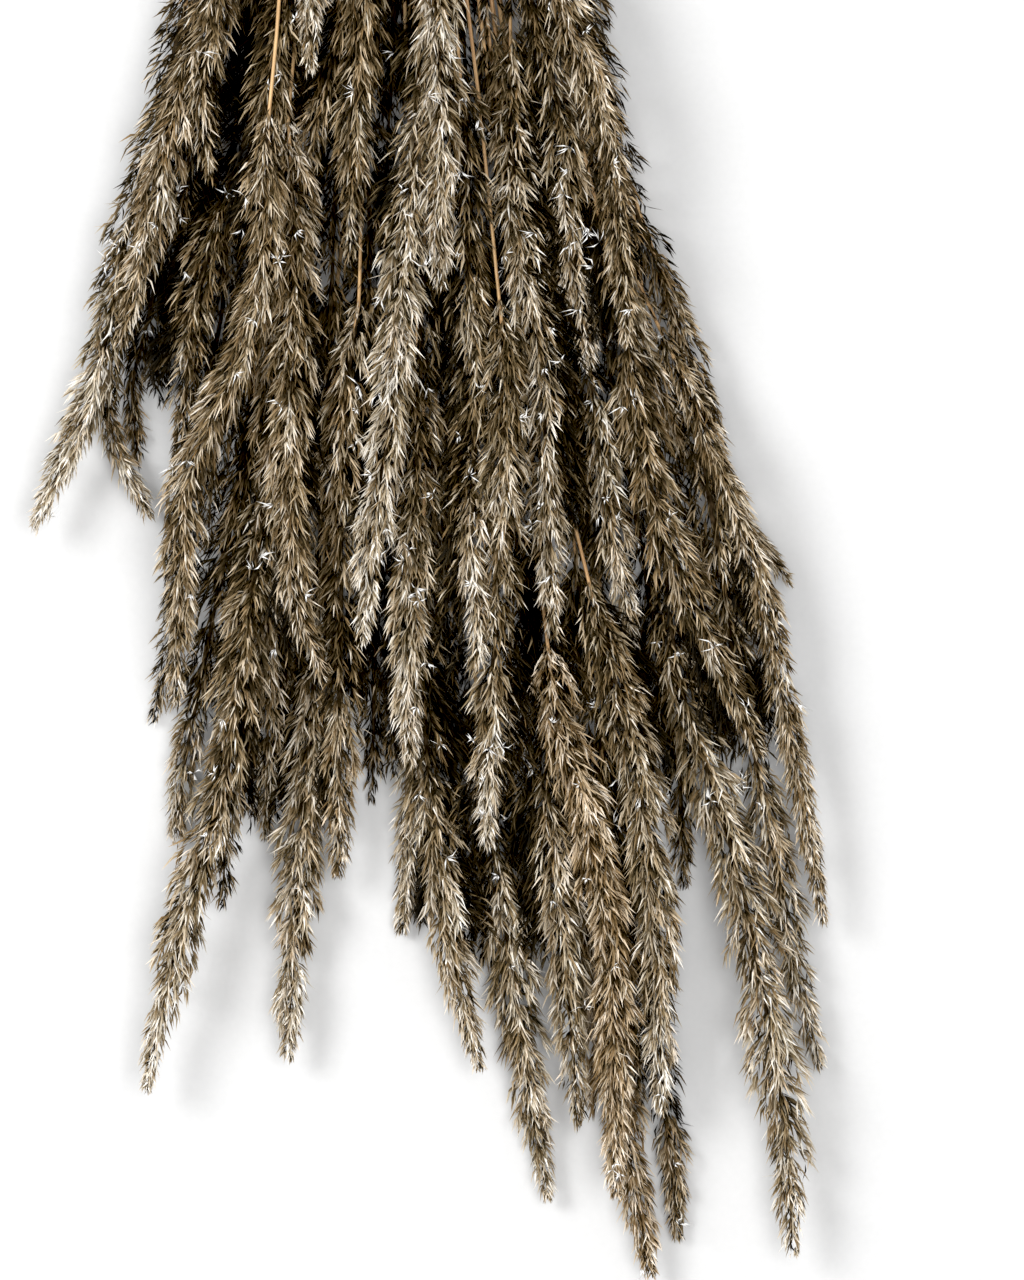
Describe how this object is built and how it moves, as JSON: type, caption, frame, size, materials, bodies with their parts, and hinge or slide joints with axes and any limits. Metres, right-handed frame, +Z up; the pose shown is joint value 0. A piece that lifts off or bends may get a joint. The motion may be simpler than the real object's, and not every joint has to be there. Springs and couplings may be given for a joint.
{
  "type": "dried feather reed grass bunch",
  "caption": "Tied bunch of dried feather reed grass lying on a surface: straw stems fanning out from a twine tie into long feathery flower heads.",
  "frame": {"origin": "on the resting surface, straight below the middle of the twine tie, on the tie's small flat", "axes": "-Y from the tie towards the flower heads, +Y towards the cut stem ends, +X to the right as seen from above with the heads pointing down, +Z up from the surface"},
  "size_m": [0.2827, 0.8019, 0.0563],
  "materials": {
    "dried_grass": "dry matte, feathery",
    "twine": "rough plied fibre"
  },
  "bodies": {
    "root": {"stalk_01": "dried_grass", "stalk_02": "dried_grass", "stalk_03": "dried_grass", "stalk_04": "dried_grass", "stalk_05": "dried_grass", "stalk_06": "dried_grass", "stalk_07": "dried_grass", "stalk_08": "dried_grass", "stalk_09": "dried_grass", "stalk_10": "dried_grass", "stalk_11": "dried_grass", "stalk_12": "dried_grass", "stalk_13": "dried_grass", "stalk_14": "dried_grass", "stalk_15": "dried_grass", "stalk_16": "dried_grass", "stalk_17": "dried_grass", "stalk_18": "dried_grass", "stalk_19": "dried_grass", "stalk_20": "dried_grass", "stalk_21": "dried_grass", "stalk_22": "dried_grass", "stalk_23": "dried_grass", "stalk_24": "dried_grass", "stalk_25": "dried_grass", "stalk_26": "dried_grass", "stalk_27": "dried_grass", "stalk_28": "dried_grass", "stalk_29": "dried_grass", "stalk_30": "dried_grass", "stalk_31": "dried_grass", "stalk_32": "dried_grass", "stalk_33": "dried_grass", "stalk_34": "dried_grass", "stalk_35": "dried_grass", "stalk_36": "dried_grass", "stalk_37": "dried_grass", "stalk_38": "dried_grass", "stalk_39": "dried_grass", "stalk_40": "dried_grass", "stalk_41": "dried_grass", "stalk_42": "dried_grass", "stalk_43": "dried_grass", "stalk_44": "dried_grass", "stalk_45": "dried_grass", "stalk_46": "dried_grass", "stalk_47": "dried_grass", "stalk_48": "dried_grass", "stalk_49": "dried_grass", "stalk_50": "dried_grass", "stalk_51": "dried_grass", "stalk_52": "dried_grass", "stalk_53": "dried_grass", "stalk_54": "dried_grass", "stalk_55": "dried_grass", "stalk_56": "dried_grass", "stalk_57": "dried_grass", "stalk_58": "dried_grass", "stalk_59": "dried_grass", "twine_tie": "twine"}
  },
  "joints": []
}
